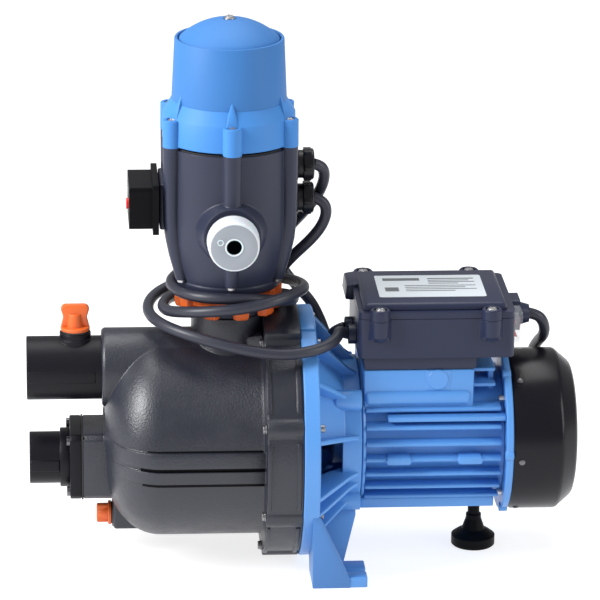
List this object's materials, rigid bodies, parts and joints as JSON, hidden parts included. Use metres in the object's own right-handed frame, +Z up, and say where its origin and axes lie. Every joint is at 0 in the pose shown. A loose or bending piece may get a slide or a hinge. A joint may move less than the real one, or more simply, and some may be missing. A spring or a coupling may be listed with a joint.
{
  "type": "self-priming water pump with pressure controller",
  "caption": "Electric self-priming water pump with finned motor, terminal box and an upright pressure controller on its outlet, wired with coiled cable.",
  "frame": {"origin": "midway between the two foot slots, on the plane that the feet stand on", "axes": "+X along the motor shaft from the pump end to the fan, +Z up, +Y from the outlet side to the far side"},
  "size_m": [0.401, 0.319, 0.4074],
  "materials": {
    "casing_black": "fine matt black paint",
    "motor_blue": "satin blue paint",
    "steel": "zinc plated",
    "black_plastic": "fine texture",
    "blue_plastic": "satin",
    "orange_plastic": "satin",
    "white_plastic": "translucent white",
    "clear_plastic": "clear",
    "red_plastic": "smooth",
    "cable_black": "satin",
    "rubber": "matt",
    "brass": "machined",
    "copper": "enamelled wire",
    "label": "smooth label",
    "laminations": "stacked sheet",
    "aluminium": "cast",
    "green_board": "circuit board"
  },
  "bodies": {
    "pump": {"pump_casing": "casing_black", "inlet_adapter": "casing_black", "inlet_screws": "steel", "ejector": "white_plastic", "diffuser": "white_plastic", "seal_plate": "steel", "mechanical_seal": "rubber", "water_seals": "rubber", "casing_bolts": "steel", "bracket": "motor_blue", "motor_housing": "motor_blue", "stator_core": "laminations", "stator_windings": "copper", "bearings": "steel", "rear_shield": "motor_blue", "tie_bolts": "steel", "fan_cover": "black_plastic", "fan_cover_screws": "steel", "terminal_box": "black_plastic", "lid": "black_plastic", "lid_screws": "steel", "lid_label": "label", "box_glands": "black_plastic", "switch_frame": "clear_plastic", "switch_body": "black_plastic", "lead_block": "black_plastic", "capacitor": "aluminium", "terminal_block": "white_plastic", "controller_body": "black_plastic", "controller_cap": "blue_plastic", "cap_dome": "blue_plastic", "dome_screw": "steel", "controller_screws": "steel", "panel_box": "black_plastic", "lamps": "clear_plastic", "controller_glands": "black_plastic", "diaphragm": "rubber", "diaphragm_spring": "steel", "circuit_board": "green_board", "control_cable": "cable_black", "feed_cable": "cable_black", "mains_lead": "cable_black", "lead_coil": "cable_black", "mains_plug": "black_plastic"},
    "rotor": {"shaft": "steel", "impeller": "brass", "rotor_core": "laminations", "cooling_fan": "black_plastic"},
    "rocker": {"switch_rocker": "red_plastic"},
    "fill_seal_ring": {"fill_seal": "rubber"},
    "fill_plug": {"fill_plug": "orange_plastic"},
    "drain_seal_ring": {"drain_seal": "rubber"},
    "drain_plug": {"drain_plug": "orange_plastic"},
    "rear_foot": {"rear_foot": "black_plastic"},
    "foot_stem": {"foot_stem": "black_plastic"},
    "outlet_closure": {"outlet_cap": "white_plastic"},
    "ring_nut": {"ring_nut": "orange_plastic"},
    "restart_button": {"restart_button": "red_plastic"},
    "flow_valve": {"flow_valve": "white_plastic"},
    "check_valve": {"check_valve": "brass"}
  },
  "joints": [
    {"name": "rotor_spin", "type": "hinge", "parent": "pump", "child": "rotor", "pos_m": [0, 0, 0.0915], "axis": [1, 0, 0], "continuous": true},
    {"name": "rocker_tilt", "type": "hinge", "parent": "pump", "child": "rocker", "pos_m": [0.1218, -0.022, 0.1775], "axis": [0, 1, 0], "range_deg": [0, 16]},
    {"name": "fill_lift", "type": "slide", "parent": "pump", "child": "fill_seal_ring", "axis": [0, 0, 1], "range_m": [0, 0.009]},
    {"name": "fill_turn", "type": "hinge", "parent": "fill_seal_ring", "child": "fill_plug", "pos_m": [-0.1923, 0, 0.175], "axis": [0, 0, 1], "range_deg": [0, 1800]},
    {"name": "drain_lift", "type": "slide", "parent": "pump", "child": "drain_seal_ring", "axis": [-1, 0, 0], "range_m": [0, 0.009]},
    {"name": "drain_turn", "type": "hinge", "parent": "drain_seal_ring", "child": "drain_plug", "pos_m": [-0.17, 0, 0.029], "axis": [-1, 0, 0], "range_deg": [0, 1800]},
    {"name": "foot_lower", "type": "slide", "parent": "pump", "child": "rear_foot", "axis": [0, 0, -1], "range_m": [0, 0.0025]},
    {"name": "stem_turn", "type": "hinge", "parent": "rear_foot", "child": "foot_stem", "pos_m": [0.103, 0, 0.03], "axis": [0, 0, -1], "range_deg": [0, 720]},
    {"name": "closure_pull", "type": "slide", "parent": "pump", "child": "outlet_closure", "axis": [0, -1, 0], "range_m": [0, 0.02]},
    {"name": "nut_turn", "type": "hinge", "parent": "pump", "child": "ring_nut", "pos_m": [-0.081, 0, 0.2], "axis": [0, 0, 1], "continuous": true},
    {"name": "button_press", "type": "slide", "parent": "pump", "child": "restart_button", "axis": [1, 0, 0], "range_m": [0, 0.0015], "stiffness_N_per_m": 800, "springref_m": -0.0005},
    {"name": "flow_lift", "type": "slide", "parent": "pump", "child": "flow_valve", "axis": [0, 0, 1], "range_m": [0, 0.012]},
    {"name": "check_open", "type": "slide", "parent": "pump", "child": "check_valve", "axis": [1, 0, 0], "range_m": [0, 0.006], "stiffness_N_per_m": 60, "springref_m": -0.004}
  ],
  "couplings": [
    {"joint": "fill_turn", "follows": "fill_lift", "rad_per_m": 3490.7},
    {"joint": "drain_turn", "follows": "drain_lift", "rad_per_m": 3490.7},
    {"joint": "stem_turn", "follows": "foot_lower", "rad_per_m": 5026.5}
  ]
}
